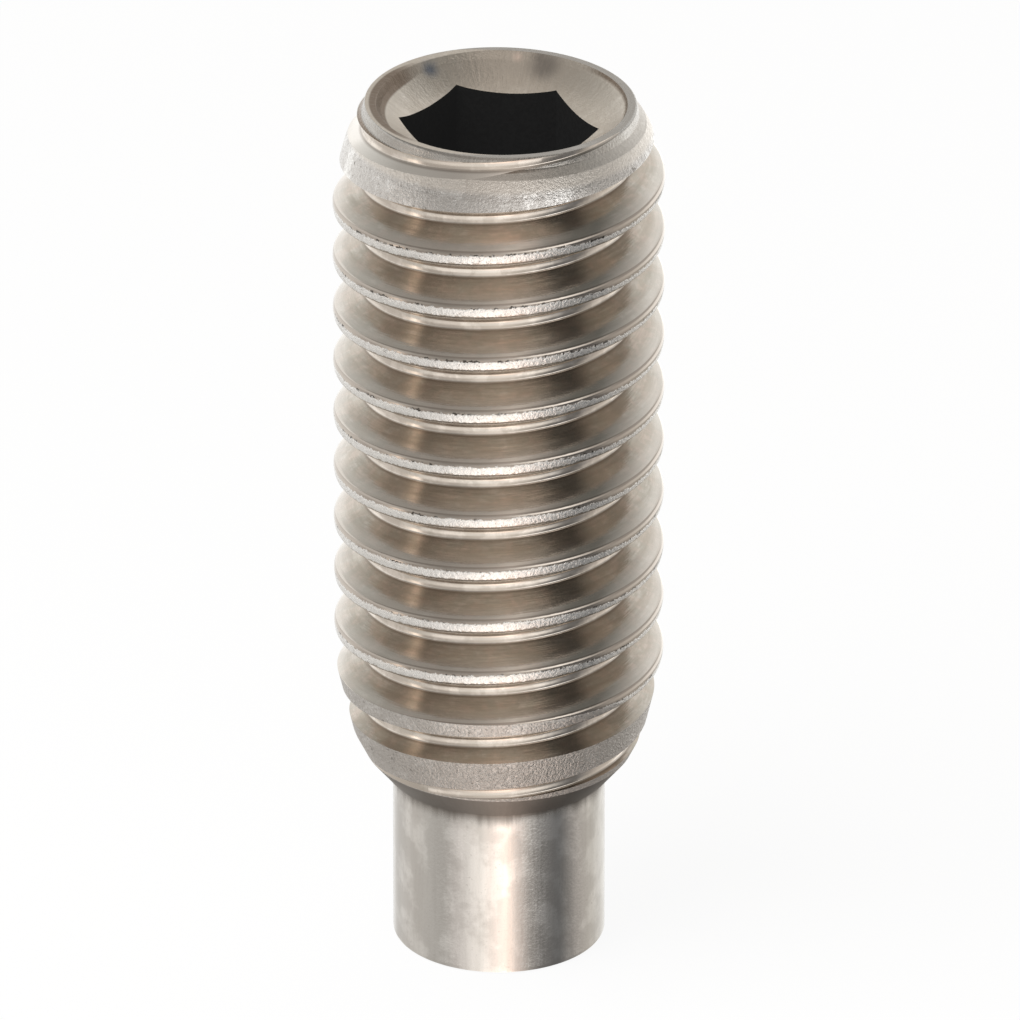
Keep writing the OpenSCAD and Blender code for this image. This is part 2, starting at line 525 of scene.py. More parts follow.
# %% Group: around the axis
group, given, result = new_group(
    "around_the_axis", {"Place": "Vector"}, {"Around": "Vector", "Radius": "Float", "Height": "Float"}
)
in_mm = vector_maths(group, "SCALE", {0: given["Place"], "Scale": 1 / MM})["Vector"]
parts = split(group, in_mm)
flat = add_node(group, "ShaderNodeCombineXYZ", {"X": parts["X"], "Y": parts["Y"]}).outputs[0]
group.links.new(vector_maths(group, "NORMALIZE", {0: flat})["Vector"], result["Around"])
group.links.new(vector_maths(group, "LENGTH", {0: flat})["Value"], result["Radius"])
group.links.new(parts["Z"], result["Height"])
print("group:", group.name)


def facing_right(tree, where):
    """1 where a point faces right, and -1 where it faces left."""
    return split(tree, where["Around"])["X"]


# %% [markdown]
# ## Where a point is on the thread
#
# The crest and the two flanks of a thread are told apart by how far a point
# lies below the crest's upper corner, measured down the screw. That corner
# climbs one pitch for each turn. The angle jumps by one whole turn at the back,
# and the fraction of a turn that is kept here has no jump.

# %% Group: below the corner
group, given, result = new_group("below_the_corner", {"Place": "Vector"}, {"Below": "Float"})
parts = split(group, given["Place"])
turns = maths(group, "MULTIPLY", maths(group, "ARCTAN2", parts["Y"], parts["X"]), 1 / (2 * math.pi))
corner = maths(group, "MULTIPLY_ADD", turns, PITCH, ROD_START)
below = maths(group, "DIVIDE", maths(group, "SUBTRACT", corner, parts["Z"]), PITCH)
fraction = maths(group, "SUBTRACT", below, maths(group, "FLOOR", below))
group.links.new(maths(group, "MULTIPLY", fraction, PITCH / MM), result["Below"])
print("group:", group.name)

# %% [markdown]
# ## Drawn lines
#
# A tool that slides over metal leaves lines along its path. They could be waves,
# but waves look too even. A noise that is stretched looks right: few waves round
# the axis and many across give lines round the screw, and the other way about
# gives lines along it. The noise has four dimensions, and the last one changes
# from turn to turn, so that no two turns of the thread look the same.

# %% Group: drawn lines
NOISE_RANGE = (0.3, 0.7)

group, given, result = new_group(
    "drawn_lines",
    {
        "Around": "Vector", "Across": "Float",
        "Waves around": "Float", "Waves across": "Float", "Change": "Float",
    },
    {"Lines": "Float"},
)
ring_feeds = {0: given["Around"], "Scale": given["Waves around"]}
ring = split(group, vector_maths(group, "SCALE", ring_feeds)["Vector"])
steps = maths(group, "MULTIPLY", given["Across"], given["Waves across"])
spot = add_node(group, "ShaderNodeCombineXYZ", {"X": ring["X"], "Y": ring["Y"], "Z": steps}).outputs[0]
noise = add_node(
    group, "ShaderNodeTexNoise",
    {"Vector": spot, "W": given["Change"], "Scale": 1.0, "Detail": 3.0, "Roughness": 0.6},
    noise_dimensions="4D",
)
group.links.new(ramp_up(group, noise.outputs[0], *NOISE_RANGE), result["Lines"])
print("group:", group.name)

# %% [markdown]
# ## Grain and pits
#
# Rolled and turned metal is never quite smooth. Its skin has a fine even grain,
# and here and there a small pit where a crumb was torn out. They are far too
# small to model, so they are drawn. The grain is a plain noise. The pits are
# the highest parts of a second one, which is a little coarser.

# %% Group: metal grain
PIT_COARSER = 0.8
PIT_EDGE = (0.60, 0.70)

group, given, result = new_group(
    "metal_grain", {"Place": "Vector", "Size": "Float"}, {"Grain": "Float", "Pits": "Float"}
)
waves = maths(group, "DIVIDE", 1.0, given["Size"])
spot = vector_maths(group, "SCALE", {0: given["Place"], "Scale": 1 / MM})["Vector"]
noise = add_node(
    group, "ShaderNodeTexNoise", {"Vector": spot, "Scale": waves, "Detail": 2.5, "Roughness": 0.65}
)
group.links.new(ramp_up(group, noise.outputs[0], *NOISE_RANGE), result["Grain"])
pit_waves = maths(group, "MULTIPLY", waves, PIT_COARSER)
specks = add_node(
    group, "ShaderNodeTexNoise",
    {"Vector": spot, "W": 7.0, "Scale": pit_waves, "Detail": 3.0, "Roughness": 0.7},
    noise_dimensions="4D",
)
group.links.new(ramp_up(group, specks.outputs[0], *PIT_EDGE), result["Pits"])
print("group:", group.name)

# %% [markdown]
# ## Stains
#
# Oil, heat and handling leave faint blotches. They could be painted by hand,
# but a noise gives new ones at every size. A stain is a wide noise with most
# of it cut away, so that only its highest parts are left, with soft edges.

# %% Group: stains
SHORE_HIGH = 0.75
SHORE_FALL = 0.4
STAIN_EDGE = (-0.06, 0.1)

group, given, result = new_group(
    "stains", {"Place": "Vector", "Size": "Float", "Spread": "Float"}, {"Stain": "Float"}
)
waves = maths(group, "DIVIDE", 1 / MM, given["Size"])
noise = add_node(
    group, "ShaderNodeTexNoise", {"Vector": given["Place"], "Scale": waves, "Detail": 4.0, "Roughness": 0.6}
)
shore = maths(group, "SUBTRACT", SHORE_HIGH, maths(group, "MULTIPLY", given["Spread"], SHORE_FALL))
above = maths(group, "SUBTRACT", noise.outputs[0], shore)
group.links.new(ramp_up(group, above, *STAIN_EDGE), result["Stain"])
print("group:", group.name)

# %% [markdown]
# ## What every finish shares
#
# Each finish is bare metal with a colour, a roughness and a relief that change
# over its surface. The relief could be real bumps in the mesh, but it is only
# a few thousandths of a millimetre deep, so a Bump node gives it.

# %% Start and end of a finish
def start_finish(name):
    """An empty metal finish: its tree, its shader, and the place of each point."""
    material = bpy.data.materials[name]
    material.use_nodes = True
    tree = material.node_tree
    shader = tree.nodes["Principled BSDF"]
    shader.inputs["Metallic"].default_value = 1.0
    place = tree.nodes.new("ShaderNodeTexCoord").outputs["Object"]
    return tree, shader, place


def end_finish(tree, shader, colour, roughness, relief, depth):
    """Feeds the colour, the roughness and the relief to the shader."""
    tree.links.new(colour, shader.inputs["Base Color"])
    tree.links.new(roughness, shader.inputs["Roughness"])
    bump = add_node(tree, "ShaderNodeBump", {"Height": relief, "Distance": depth})
    tree.links.new(bump.outputs[0], shader.inputs["Normal"])


# %% [markdown]
# ## The rolled thread's finish
#
# The dies squeeze the metal into shape. Deep in the groove they rub along it,
# which leaves fine lines round the screw and a warm brown skin of oil and
# oxide. On the crests the metal is only pushed up between the dies, so it stays
# bright and rough, with small pits and a broken dark burr along its upper edge.
# Crest and groove could be two materials, but their border is ragged, so one
# material tells them apart by a point's place below the corner. The cream root
# and the pale flank under the crest are painted reflections of the bright
# floor, a dark line along the root's lower edge is painted shadow, and the
# bright crest is drawn narrower on the right, as painted shade on that side.

# %% Thread finish: colours
FLANK_DARK = (0.43, 0.38, 0.325, 1)
FLANK_WARM = (0.66, 0.61, 0.545, 1)
FLANK_RED = (0.60, 0.48, 0.40, 1)
FLANK_OLIVE = (0.40, 0.385, 0.315, 1)
FLANK_PALE = (0.84, 0.80, 0.75, 1)
# The root's cream is a painted reflection of the bright floor.
ROOT_SHEEN_CREAM = (0.80, 0.735, 0.67, 1)
# The dark line at the root's lower edge is painted shadow.
ROOT_EDGE_SHADE = (0.27, 0.22, 0.18, 1)
CREST_BRIGHT = (0.98, 0.98, 0.97, 1)
PIT_GREY = (0.40, 0.375, 0.35, 1)
BURR_DARK = (0.10, 0.09, 0.08, 1)

# %% Thread finish: where each part begins and ends, in millimetres
crest_mm = CREST_R / MM
root_mm = root_r / MM
rim_lead_mm = rim_lead_z / MM
crest_foot = (CREST_FLAT + WORN_HEIGHT) / MM
root_top = -root_top_z / MM
root_foot = -root_foot_z / MM

UP_FLANK = (crest_mm - 0.30, crest_mm - 0.04)
NEAR_RIM = (rim_lead_mm - 0.45, rim_lead_mm - 0.20)
PAST_ROOT_TOP = (root_top, root_top + 0.05)
# Where the painted shadow along the root's lower edge lies.
ROOT_SHADE_BAND = (root_foot + 0.045, root_foot + 0.015)
OFF_ROOT = (root_mm + 0.01, root_mm + 0.03)
CREST_EDGE_RAGGED = 0.03
# How much narrower the bright crest is drawn on the right, as painted shade.
CREST_SHADE_NARROWS = 0.06
CREST_TOP = (0.10, 0.125)
CREST_FOOT = (crest_foot - 0.005, crest_foot + 0.015)
BURR_MIDDLE = 0.115
BURR_WIDTH = (0.022, 0.010)
BURR_TICKS = (0.45, 0.75)
BURR_LINES = (0.45, 0.70)
SHADED_RIGHT = (0.2, 0.8)
print(f"crest {crest_foot:.2f} mm high, root from {root_top:.2f} to {root_foot:.2f} mm below the corner")

# %% Thread finish: marks
MARKS_CHANGE = 2.1

tree, shader, place = start_finish("rolled_thread")
where = place_group(tree, "around_the_axis", {"Place": place})
below = place_group(tree, "below_the_corner", {"Place": place})["Below"]
change = maths(tree, "MULTIPLY", where["Height"], MARKS_CHANGE)
wide_lines = place_group(tree, "drawn_lines", {
    "Around": where["Around"], "Across": where["Radius"],
    "Waves around": 3.5, "Waves across": 12.0, "Change": change,
})["Lines"]
fine_lines = place_group(tree, "drawn_lines", {
    "Around": where["Around"], "Across": where["Radius"],
    "Waves around": 7.0, "Waves across": 42.0, "Change": change,
})["Lines"]
ticks = place_group(tree, "drawn_lines", {
    "Around": where["Around"], "Across": below,
    "Waves around": 26.0, "Waves across": 5.0, "Change": change,
})["Lines"]
grain = place_group(tree, "metal_grain", {"Place": place, "Size": 0.05})
stain = place_group(tree, "stains", {"Place": place, "Size": 0.40, "Spread": 0.75})["Stain"]
mottle = place_group(tree, "stains", {"Place": place, "Size": 0.15, "Spread": 0.75})["Stain"]
print("thread finish: marks drawn")

# %% Thread finish: the groove
UP_FLANK_PALE = 0.5
# How pale the flank under the crest is drawn, as a painted reflection of the floor.
UNDER_CREST_SHEEN = 0.8

flank = blend_colours(tree, wide_lines, FLANK_DARK, FLANK_WARM)
flank = tinted(tree, flank, FLANK_RED, stain, strength=0.5)
flank = tinted(tree, flank, FLANK_OLIVE, mottle, strength=0.4)
flank = tinted(tree, flank, FLANK_DARK, fine_lines, strength=0.4)
up_flank = ramp_up(tree, where["Radius"], *UP_FLANK)
near_rim = ramp_up(tree, where["Height"], *NEAR_RIM)
# The flank under the crest is drawn pale: a painted reflection of the bright floor.
sheen_under_crest = maths(tree, "SUBTRACT", 1.0, ramp_up(tree, below, *PAST_ROOT_TOP))
pale = maths(tree, "MAXIMUM", maths(tree, "MULTIPLY", up_flank, UP_FLANK_PALE), near_rim)
pale = maths(tree, "MAXIMUM", maths(tree, "MULTIPLY", sheen_under_crest, UNDER_CREST_SHEEN), pale)
flank = blend_colours(tree, pale, flank, FLANK_PALE)
# A thin dark line of painted shadow along the root's lower edge.
flank = tinted(tree, flank, ROOT_EDGE_SHADE, ramp_up(tree, below, *ROOT_SHADE_BAND), strength=0.6)
# The root is drawn cream, a painted reflection of the bright floor, with real stains over it.
root = tinted(tree, ROOT_SHEEN_CREAM, FLANK_DARK, stain, strength=0.4)
groove = blend_colours(tree, ramp_up(tree, where["Radius"], *OFF_ROOT), root, flank)
groove_rough = raised(tree, base=0.09, mask=fine_lines, amount=0.07)
print("thread finish: groove drawn")

# %% Thread finish: the crest
crest = tinted(tree, CREST_BRIGHT, PIT_GREY, ticks, strength=0.22)
crest = tinted(tree, crest, PIT_GREY, grain["Pits"], strength=0.7)
crest_rough = raised(tree, base=0.20, mask=grain["Grain"], amount=0.16)

ragged = raised(tree, below, grain["Grain"], amount=CREST_EDGE_RAGGED)
ragged = raised(tree, ragged, ticks, amount=CREST_EDGE_RAGGED)
# The bright crest is drawn narrower on the right: painted shade on that side.
shade_on_right = ramp_up(tree, facing_right(tree, where), *SHADED_RIGHT)
ragged_top = raised(tree, ragged, shade_on_right, amount=-CREST_SHADE_NARROWS)
above_foot = maths(tree, "SUBTRACT", 1.0, ramp_up(tree, ragged, *CREST_FOOT))
on_crest = maths(tree, "MULTIPLY", ramp_up(tree, ragged_top, *CREST_TOP), above_foot)

off_burr = maths(tree, "ABSOLUTE", maths(tree, "SUBTRACT", ragged_top, BURR_MIDDLE))
burr = ramp_up(tree, off_burr, *BURR_WIDTH)
burr = maths(tree, "MULTIPLY", burr, ramp_up(tree, ticks, *BURR_TICKS))
burr = maths(tree, "MULTIPLY", burr, ramp_up(tree, wide_lines, *BURR_LINES))
print("thread finish: crest drawn")

# %% Thread finish: groove and crest together
FINE_LINES_RELIEF = 0.15

thread_colour = blend_colours(tree, on_crest, groove, crest)
thread_colour = blend_colours(tree, burr, thread_colour, BURR_DARK)
rough_gap = maths(tree, "SUBTRACT", crest_rough, groove_rough)
thread_rough = raised(tree, groove_rough, on_crest, rough_gap)
crest_relief = maths(tree, "SUBTRACT", grain["Grain"], grain["Pits"])
crest_relief = maths(tree, "MULTIPLY", crest_relief, on_crest)
thread_relief = raised(tree, crest_relief, fine_lines, FINE_LINES_RELIEF)
end_finish(tree, shader, thread_colour, thread_rough, thread_relief, 4 * MICRON)
print("finish: rolled thread")

# %% [markdown]
# ## The worn leads
#
# Where the cones cut the first crests short, the metal was never pushed up to
# full height. It is flat there, grainy and dull, and wider than a full crest.
# Close under the lip it is beige and even, and near the foot it is greyer and
# coarser. One material could serve each lead, but they differ only by height,
# so one material fades from the one look to the other.

# %% Finish: worn leads
LEAD_BRIGHT = (0.93, 0.92, 0.905, 1)
LEAD_GREY = (0.50, 0.475, 0.45, 1)
LEAD_BEIGE = (0.82, 0.775, 0.72, 1)
PIT_DARK = (0.20, 0.18, 0.16, 1)
FOOT_FADE = 2.87
# How far under the lip the line of painted shade lies.
SHADE_LINE_DROP = 0.015
lip_mm = (LENGTH - RIM_LIP) / MM - SHADE_LINE_DROP
NEAR_LIP = (lip_mm - 0.40, lip_mm - 0.28)
NEAR_FOOT = (shoulder_z / MM + FOOT_FADE, shoulder_lead_z / MM)

tree, shader, place = start_finish("worn_leads")
where = place_group(tree, "around_the_axis", {"Place": place})
grain = place_group(tree, "metal_grain", {"Place": place, "Size": 0.05})
speckle = place_group(tree, "metal_grain", {"Place": place, "Size": 0.09})["Pits"]
stain = place_group(tree, "stains", {"Place": place, "Size": 0.45, "Spread": 0.85})["Stain"]
near_lip = ramp_up(tree, where["Height"], *NEAR_LIP)
near_foot = ramp_up(tree, where["Height"], *NEAR_FOOT)

grain_strength = raised(tree, base=0.3, mask=near_foot, amount=0.5)
colour = tinted(tree, LEAD_BRIGHT, PIT_GREY, grain["Grain"], grain_strength)
colour = tinted(tree, colour, PIT_GREY, grain["Pits"], strength=0.8)
colour = tinted(tree, colour, LEAD_GREY, stain, strength=0.6)
colour = tinted(tree, colour, LEAD_GREY, near_foot, strength=0.6)
colour = tinted(tree, colour, PIT_DARK, speckle, strength=0.7)
colour = tinted(tree, colour, LEAD_BEIGE, near_lip, strength=0.9)
rough = raised(tree, base=0.20, mask=grain["Grain"], amount=0.15)
rough = raised(tree, rough, near_lip, amount=0.15)
rough = raised(tree, rough, near_foot, amount=0.15)
relief = maths(tree, "SUBTRACT", grain["Grain"], grain["Pits"])
relief = maths(tree, "MULTIPLY", relief, raised(tree, base=1.0, mask=near_foot, amount=1.5))
end_finish(tree, shader, colour, rough, relief, 4 * MICRON)
print("finish: worn leads")

# %% [markdown]
# ## The turned rim
#
# The lip round the socket was turned and then handled most, so its edges are
# rounded. It is a soft grey with warmer blotches, and faint lathe marks run
# round it. The slope under the lip is beige and duller. A thin brown line of
# painted shade lies in the step under the lip, and it fades away on the right.
# Ambient occlusion could find that step, but its height is known, so a band
# at that height is simpler.

# %% Finish: turned rim
RIM_PALE = (0.55, 0.54, 0.52, 1)
RIM_WARM = (0.40, 0.375, 0.345, 1)
# The brown of painted shade, under the lip and at the socket's mouth.
SHADE_BROWN = (0.27, 0.215, 0.17, 1)
UNDER_LIP = (lip_mm, lip_mm - 0.03)
SHADE_LINE_WIDTH = (0.045, 0.02)
OFF_RIGHT = (0.4, 0.0)

tree, shader, place = start_finish("turned_rim")
where = place_group(tree, "around_the_axis", {"Place": place})
lathe_lines = place_group(tree, "drawn_lines", {
    "Around": where["Around"], "Across": maths(tree, "SUBTRACT", where["Radius"], where["Height"]),
    "Waves around": 3.0, "Waves across": 26.0, "Change": 0.0,
})["Lines"]
grain = place_group(tree, "metal_grain", {"Place": place, "Size": 0.06})
stain = place_group(tree, "stains", {"Place": place, "Size": 1.1, "Spread": 0.9})["Stain"]
under_lip = ramp_up(tree, where["Height"], *UNDER_LIP)
# A thin brown line of painted shade in the step under the lip, fading away on the right.
off_shade_line = maths(tree, "ABSOLUTE", maths(tree, "SUBTRACT", where["Height"], lip_mm))
off_right = ramp_up(tree, facing_right(tree, where), *OFF_RIGHT)
painted_shade_line = maths(tree, "MULTIPLY", ramp_up(tree, off_shade_line, *SHADE_LINE_WIDTH), off_right)

colour = tinted(tree, RIM_PALE, RIM_WARM, lathe_lines, strength=0.6)
colour = tinted(tree, colour, RIM_WARM, stain, strength=0.5)
colour = tinted(tree, colour, LEAD_BEIGE, under_lip, strength=0.6)
colour = blend_colours(tree, painted_shade_line, colour, SHADE_BROWN)
rough = raised(tree, base=0.20, mask=grain["Grain"], amount=0.12)
rough = raised(tree, rough, under_lip, amount=0.20)
relief = raised(tree, grain["Grain"], lathe_lines, amount=0.6)
end_finish(tree, shader, colour, rough, relief, 3 * MICRON)
print("finish: turned rim")

# %% [markdown]
# ## The turned point
#
# The point was turned smooth, and then tumbled and wiped along its length. Fine
# marks run up and down it, with a soft grain over them. A dark brown band of
# painted shade lies in the hollow where the point meets the shoulder. Brushed
# metal could also be an anisotropic gloss, but drawn lines show their streaks
# from close by too.

# %% Finish: turned point
POINT_PALE = (0.84, 0.82, 0.795, 1)
POINT_GREY = (0.66, 0.645, 0.62, 1)
# The dark brown of the painted shade in the hollow.
HOLLOW_SHADE = (0.11, 0.093, 0.078, 1)
point_mm = POINT_LENGTH / MM
HOLLOW_SHADE_RANGE = (point_mm - 0.30, point_mm + 0.02)

tree, shader, place = start_finish("turned_point")
where = place_group(tree, "around_the_axis", {"Place": place})
fine_marks = place_group(tree, "drawn_lines", {
    "Around": where["Around"], "Across": where["Height"],
    "Waves around": 48.0, "Waves across": 1.2, "Change": 0.0,
})["Lines"]
wide_marks = place_group(tree, "drawn_lines", {
    "Around": where["Around"], "Across": where["Height"],
    "Waves around": 9.0, "Waves across": 0.5, "Change": 3.0,
})["Lines"]
grain = place_group(tree, "metal_grain", {"Place": place, "Size": 0.05})
stain = place_group(tree, "stains", {"Place": place, "Size": 0.8, "Spread": 0.7})["Stain"]
# Painted shade, darkest at the shoulder and fading 0.3 mm down the point, with a ragged edge.
ragged = raised(tree, where["Height"], wide_marks, amount=0.08)
hollow_shade_band = ramp_up(tree, ragged, *HOLLOW_SHADE_RANGE)

colour = tinted(tree, POINT_PALE, POINT_GREY, wide_marks, strength=0.6)
colour = tinted(tree, colour, LEAD_GREY, grain["Pits"], strength=0.5)
colour = tinted(tree, colour, LEAD_GREY, stain, strength=0.5)
colour = tinted(tree, colour, HOLLOW_SHADE, hollow_shade_band, strength=0.85)
rough = raised(tree, base=0.085, mask=fine_marks, amount=0.06)
rough = raised(tree, rough, hollow_shade_band, amount=0.30)
relief = raised(tree, grain["Grain"], fine_marks, amount=0.5)
end_finish(tree, shader, colour, rough, relief, 0.3 * MICRON)
print("finish: turned point")

# %% [markdown]
# ## The countersink
#
# The socket's mouth was brushed from the middle outwards, so its marks fan out
# like rays. They are centred on the countersink, which sits a little off the
# screw's axis, and a Mapping node moves the pattern there. Handling has left a
# blue-grey smudge and a dull patch at the back of it, and a bright pinkish spot
# there is a painted highlight. The mouth's edge is darker at its sides, painted
# shade where it drops into the socket. A noise would put such marks anywhere,
# so each has its own place and size, in millimetres.

# %% Finish: countersink
SINK_BEIGE = (0.92, 0.86, 0.78, 1)
SINK_BROWN = (0.72, 0.655, 0.575, 1)
SINK_DULL = (0.56, 0.52, 0.465, 1)
# Each mark has its middle and its size in millimetres, and its colour. The last one is a painted highlight.
SINK_SPOTS = [
    (Vector((-1.20, 1.68, 15.75)), 0.34, (0.22, 0.25, 0.31, 1)),
    (Vector((0.80, 1.90, 15.73)), 0.50, (0.36, 0.33, 0.30, 1)),
    # A painted pinkish highlight at the back of the bowl.
    (Vector((0.32, 2.10, 15.81)), 0.24, (1.00, 0.84, 0.74, 1)),
]
SPOT_CORE = 0.3
SPOT_RAGGED = 0.1 * MM
UP_THE_BOWL = (1.65, 2.0)
MOUTH_EDGE = sink_r / MM - 0.02
AT_SIDES = (0.6, 0.85)
FAR_LEFT = (-0.5, -0.9)
SHADE_FADE = 0.04

tree, shader, place = start_finish("countersink")
to_middle = {"Vector": place, "Location": (-SINK_OFFSET, 0, 0)}
centred = add_node(tree, "ShaderNodeMapping", to_middle).outputs[0]
where = place_group(tree, "around_the_axis", {"Place": centred})
rays = place_group(tree, "drawn_lines", {
    "Around": where["Around"], "Across": where["Radius"],
    "Waves around": 34.0, "Waves across": 2.2, "Change": 1.0,
})["Lines"]
grain = place_group(tree, "metal_grain", {"Place": place, "Size": 0.05})
stain = place_group(tree, "stains", {"Place": place, "Size": 0.45, "Spread": 0.9})["Stain"]
blotch = place_group(tree, "stains", {"Place": place, "Size": 0.14, "Spread": 0.8})["Stain"]

colour = tinted(tree, SINK_BEIGE, SINK_BROWN, rays, strength=0.65)
colour = tinted(tree, colour, SINK_BROWN, stain, strength=0.65)
colour = tinted(tree, colour, SINK_BROWN, blotch, strength=0.5)
colour = tinted(tree, colour, SINK_DULL, ramp_up(tree, where["Radius"], *UP_THE_BOWL), strength=0.4)
for middle, size, spot_colour in SINK_SPOTS:
    away = vector_maths(tree, "DISTANCE", {0: place, 1: middle * MM})["Value"]
    ragged = raised(tree, away, stain, amount=SPOT_RAGGED)
    spot = ramp_up(tree, ragged, size * MM, SPOT_CORE * size * MM)
    colour = tinted(tree, colour, spot_colour, spot, strength=0.9)
print("countersink:", len(SINK_SPOTS), "marks of handling")

# %% Finish: countersink's painted shade and relief
# A brown band of painted shade at the mouth's edge on the left and right, wider on the left.
to_right = facing_right(tree, where)
at_sides = ramp_up(tree, maths(tree, "ABSOLUTE", to_right), *AT_SIDES)
shade_reach = raised(tree, base=0.02, mask=ramp_up(tree, to_right, *FAR_LEFT), amount=0.10)
off_mouth = maths(tree, "ABSOLUTE", maths(tree, "SUBTRACT", where["Radius"], MOUTH_EDGE))
at_mouth = ramp_up(tree, off_mouth, maths(tree, "ADD", shade_reach, SHADE_FADE), shade_reach)
colour = blend_colours(tree, maths(tree, "MULTIPLY", at_mouth, at_sides), colour, SHADE_BROWN)
rough = raised(tree, base=0.34, mask=rays, amount=0.12)
relief = raised(tree, grain["Grain"], rays, amount=0.8)
end_finish(tree, shader, colour, rough, relief, 3 * MICRON)
print("finish: countersink")

# %% [markdown]
# ## The black socket
#
# The broach leaves the walls rough, and little light comes back from that deep,
# so the socket is a plain black. It isn't a metal mirror, or it would glitter.
# A very faint even glow stands for the light that bounces about inside it.

# %% Finish: black socket
SOCKET_BLACK = (0.010, 0.010, 0.010, 1)
SOCKET_SOOT = (0.006, 0.006, 0.006, 1)
SOCKET_GLOW = (0.0075, 0.0075, 0.0075, 1)
SOCKET_GLOSS = 0.05

tree, shader, place = start_finish("black_socket")
shader.inputs["Metallic"].default_value = 0.0
shader.inputs["Specular IOR Level"].default_value = SOCKET_GLOSS
shader.inputs["Emission Color"].default_value = SOCKET_GLOW
shader.inputs["Emission Strength"].default_value = 1.0
grain = place_group(tree, "metal_grain", {"Place": place, "Size": 0.08})
colour = blend_colours(tree, grain["Grain"], SOCKET_BLACK, SOCKET_SOOT)
rough = raised(tree, base=0.85, mask=grain["Grain"], amount=0.1)
end_finish(tree, shader, colour, rough, grain["Grain"], 2 * MICRON)
print("finish: black socket")

# %% [markdown]
# ## The studio
#
# Polished metal shows the room more than itself. The room could be built of
# glowing planes, but a world of colour ramps is quicker to render and to tune.
# It has five rings of boards round the screw, one above the other. A flank
# mirrors the flank over it, and that one mirrors the lowest ring in front, or
# the middle ring at the sides. The upright walls of the point and the crests
# look at the low ring, which has one narrow dark board on the right. The cones
# at the rim look at the ring over the horizon. The high ring is the rest of
# the room, pale at the sides.
#
# Each board is placed by the side of the screw that mirrors it, in degrees
# from the front, with right as positive. All boards lean a little, so that
# their reflections stand upright on the screw: adding a fixed vector to the
# direction of a ray before its angle is taken does that. Faces that look
# straight up mirror one more pale board at the back.

# %% Studio boards
BOARD_LIGHT = 2.0
# Each board has its place in degrees, and its light.
LOWEST_BOARDS = [
    (-90, (1.15, 1.15, 1.14)),
    (-60, (0.70, 0.67, 0.63)),
    (-30, (0.52, 0.50, 0.47)),
    (-24, (0.64, 0.60, 0.57)),
    (-16, (0.88, 0.83, 0.78)),
    (-8, (1.20, 1.12, 1.04)),
    (0, (1.72, 1.48, 1.34)),
    (4, (1.95, 1.62, 1.42)),
    (10, (1.02, 0.88, 0.80)),
    (16, (0.42, 0.39, 0.36)),
    (22, (0.22, 0.21, 0.20)),
    (34, (0.16, 0.16, 0.16)),
    (60, (0.60, 0.56, 0.51)),
    (90, (1.10, 1.09, 1.06)),
]
LOW_BOARDS = [
    (-90, (1.15, 1.15, 1.14)),
    (-72, (0.74, 0.72, 0.69)),
    (-50, (0.70, 0.67, 0.63)),
    (-37, (0.72, 0.71, 0.68)),
    (-22, (1.08, 1.04, 0.99)),
    (-8, (1.02, 1.01, 0.97)),
    (3, (1.24, 1.22, 1.19)),
    (12, (1.34, 1.31, 1.26)),
    (18, (1.24, 1.21, 1.17)),
    (23, (0.78, 0.77, 0.75)),
    (29, (0.26, 0.26, 0.26)),
    (36, (0.17, 0.17, 0.17)),
    (41, (0.40, 0.38, 0.36)),
    (47, (0.66, 0.62, 0.58)),
    (60, (0.65, 0.62, 0.57)),
    (90, (1.10, 1.09, 1.06)),
]
MIDDLE_BOARDS = [
    (-90, (1.20, 1.20, 1.19)),
    (-65, (1.12, 1.10, 1.06)),
    (-55, (0.74, 0.71, 0.68)),
    (-46, (0.74, 0.71, 0.68)),
    (-42, (0.95, 0.89, 0.82)),
    (-38, (1.75, 1.56, 1.40)),
    (-34, (0.52, 0.49, 0.46)),
    (-19, (0.60, 0.57, 0.54)),
    (0, (0.95, 0.90, 0.84)),
    (12, (0.65, 0.62, 0.59)),
    (22, (0.18, 0.18, 0.18)),
    (33, (0.16, 0.16, 0.16)),
    (40, (0.52, 0.50, 0.47)),
    (50, (0.86, 0.82, 0.77)),
    (58, (1.10, 1.08, 1.03)),
    (66, (1.50, 1.48, 1.44)),
    (90, (1.60, 1.60, 1.58)),
]
CONE_BOARDS = [
    (-90, (1.15, 1.15, 1.14)),
    (-41, (0.90, 0.88, 0.85)),
    (-19, (0.45, 0.44, 0.42)),
    (0, (0.84, 0.81, 0.78)),
    (12, (1.80, 1.76, 1.71)),
    (22, (1.98, 1.94, 1.89)),
    (34, (0.75, 0.72, 0.68)),
    (46, (0.50, 0.47, 0.44)),
    (90, (1.10, 1.10, 1.08)),
]
HIGH_BOARDS = [
    (-90, (1.00, 1.00, 0.98)),
    (-66, (0.62, 0.62, 0.60)),
    (-50, (0.42, 0.41, 0.39)),
    (-24, (0.36, 0.34, 0.32)),
    (-9, (0.46, 0.43, 0.40)),
    (3, (0.72, 0.66, 0.61)),
    (13, (0.36, 0.34, 0.32)),
    (23, (0.16, 0.16, 0.15)),
    (34, (0.16, 0.16, 0.15)),
    (50, (0.50, 0.49, 0.47)),
    (66, (0.95, 0.95, 0.94)),
    (90, (1.10, 1.10, 1.08)),
]
# Each ring above the lowest has the upward part of a ray's direction where it
# begins, the same where it is full, and its boards.
RING_STEPS = [
    (-0.53, -0.50, LOW_BOARDS),
    (-0.415, -0.385, MIDDLE_BOARDS),
    (-0.10, 0.00, CONE_BOARDS),
    (0.22, 0.34, HIGH_BOARDS),
]
BACK_BOARD = (0.72, 0.70, 0.67)
BACK_BOARD_EDGE = (0.89, 0.97)
LEAN = (0, -0.90, 0.43)


def board_colour(light):
    """A board's light as a colour between 0 and 1."""
    return (*(part / BOARD_LIGHT for part in light), 1)


